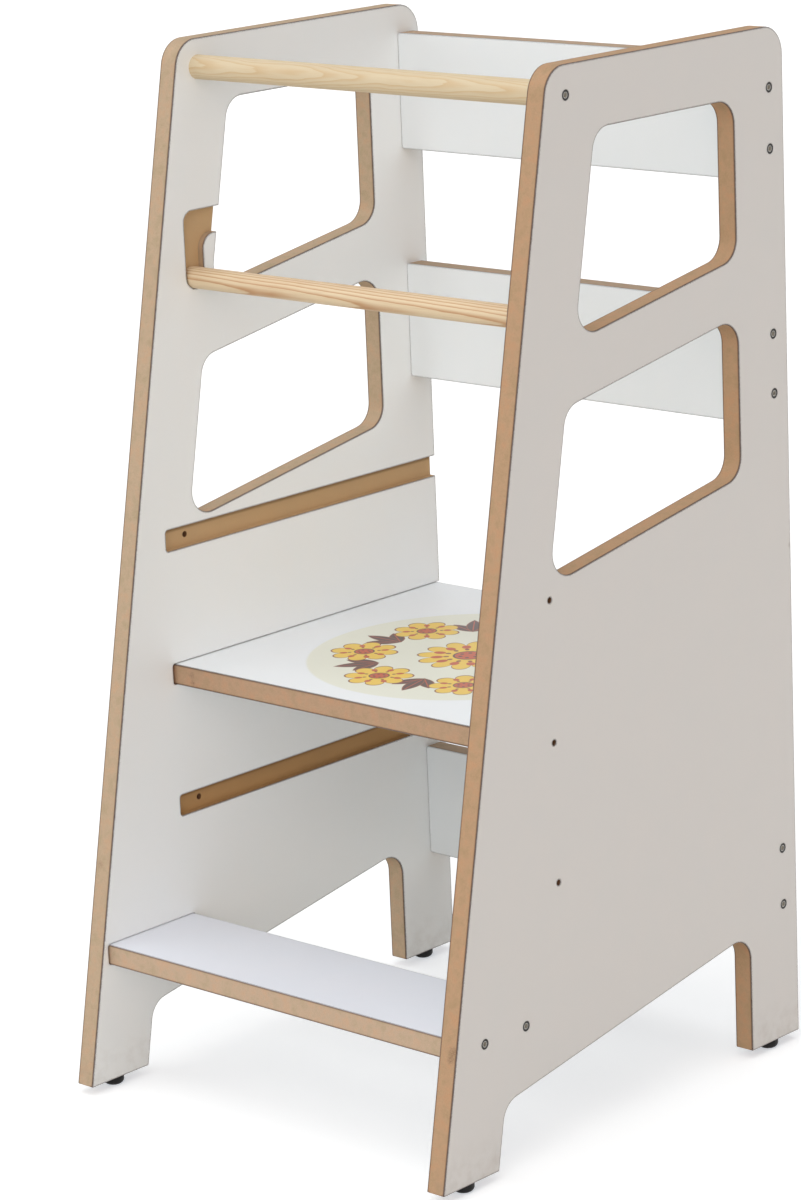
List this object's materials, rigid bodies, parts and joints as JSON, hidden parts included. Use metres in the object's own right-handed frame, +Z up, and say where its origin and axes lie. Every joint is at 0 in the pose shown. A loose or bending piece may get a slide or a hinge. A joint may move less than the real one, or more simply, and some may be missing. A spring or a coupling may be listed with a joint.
{
  "type": "toddler kitchen helper stool",
  "caption": "Enclosed step-up stool that lets a toddler stand at counter height, with a sliding platform at a choice of heights, a front step and a lift-out safety bar.",
  "frame": {"origin": "on the floor, under the middle of the stool's outer box", "axes": "+Z up, -Y the side where the child climbs in over the step, +X to the right when facing +Y"},
  "size_m": [0.419, 0.4668, 0.8815],
  "materials": {
    "white_board": "white melamine faces with raw brown fibreboard edges",
    "platform_board": "white melamine faces with a cream printed disc, raw brown edges",
    "pale_pine": "smooth pale pine, clear matt oil",
    "warm_pine": "smooth warm pine with strong long grain, clear matt oil",
    "zinc_screws": "dull zinc plate",
    "nail_steel": "bright drawn wire",
    "black_plastic": "black moulded plastic"
  },
  "bodies": {
    "frame": {"left_panel": "white_board", "right_panel": "white_board", "top_rail": "white_board", "middle_rail": "white_board", "lower_rail": "white_board", "front_step": "white_board", "top_dowel": "pale_pine", "top_rail_screws_left": "zinc_screws", "top_rail_screws_right": "zinc_screws", "middle_rail_screws_left": "zinc_screws", "middle_rail_screws_right": "zinc_screws", "lower_rail_screws_left": "zinc_screws", "lower_rail_screws_right": "zinc_screws", "front_step_screws_left": "zinc_screws", "front_step_screws_right": "zinc_screws", "top_dowel_screws_left": "zinc_screws", "top_dowel_screws_right": "zinc_screws", "front_left_glide": "black_plastic", "front_right_glide": "black_plastic", "rear_left_glide": "black_plastic", "rear_right_glide": "black_plastic", "glide_nails": "nail_steel"},
    "platform": {"platform": "platform_board"},
    "safety_bar": {"safety_bar": "warm_pine"}
  },
  "joints": [
    {"name": "platform_slide", "type": "slide", "parent": "frame", "child": "platform", "axis": [0, 1, 0], "range_m": [0, 0.34]},
    {"name": "safety_bar_lift", "type": "slide", "parent": "frame", "child": "safety_bar", "axis": [0, 0, 1], "range_m": [0, 0.047]}
  ]
}
